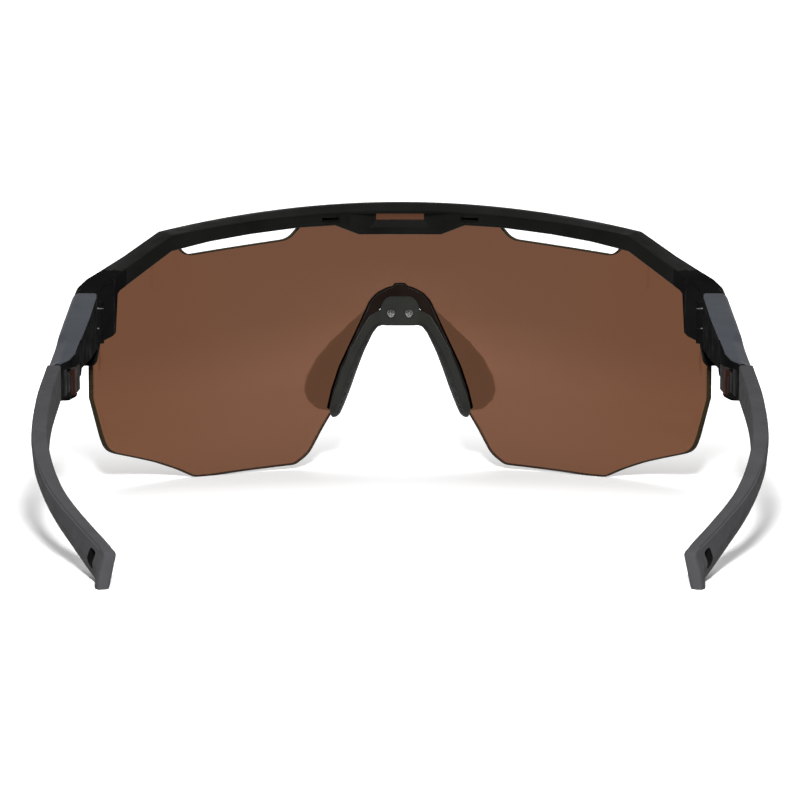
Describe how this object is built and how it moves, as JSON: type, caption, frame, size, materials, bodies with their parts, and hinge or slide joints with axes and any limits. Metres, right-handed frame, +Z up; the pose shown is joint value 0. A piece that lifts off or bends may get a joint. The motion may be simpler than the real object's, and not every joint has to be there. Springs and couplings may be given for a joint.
{
  "type": "sport sunglasses",
  "caption": "Wraparound half-rim sport sunglasses with a one-piece cylindrical shield lens, clip-on nose bracket with rubber saddle, and folding temples with rubber ear sleeves.",
  "frame": {"origin": "under the middle of the whole object, on the surface that it stands on, temples open", "axes": "+X to the wearer's left, +Y from the lens back to the ears, +Z up; the lens faces -Y"},
  "size_m": [0.142, 0.1592, 0.0604],
  "materials": {
    "gloss_frame": "injection moulded nylon, piano-black gloss with crisp facets",
    "lens": "brown tinted polycarbonate with a reflective coat, polished both sides",
    "bracket": "black moulded nylon, semi-gloss",
    "soft_pad": "matt soft rubber with small grip dimples",
    "gloss_arm": "dark grey gloss nylon that picks up a blue-grey sheen",
    "trim": "black gloss ribbed inlay",
    "ear_rubber": "satin grey rubber, very fine grain",
    "steel": "small stainless screws, satin"
  },
  "bodies": {
    "front": {"front_frame": "gloss_frame", "shield_lens": "lens", "nose_bracket": "bracket", "nose_saddle": "soft_pad", "left_nose_screw": "steel", "right_nose_screw": "steel", "left_hinge_screw": "steel", "right_hinge_screw": "steel"},
    "left_temple": {"left_temple_arm": "gloss_arm", "left_temple_trim": "trim", "left_temple_sleeve": "ear_rubber"},
    "right_temple": {"right_temple_arm": "gloss_arm", "right_temple_trim": "trim", "right_temple_sleeve": "ear_rubber"}
  },
  "joints": [
    {"name": "left_temple_fold", "type": "hinge", "parent": "front", "child": "left_temple", "pos_m": [0.0646, -0.03632, 0.038], "axis": [0, 0, 1], "range_deg": [0, 90]},
    {"name": "right_temple_fold", "type": "hinge", "parent": "front", "child": "right_temple", "pos_m": [-0.0646, -0.03632, 0.038], "axis": [0, 0, -1], "range_deg": [0, 84]}
  ]
}
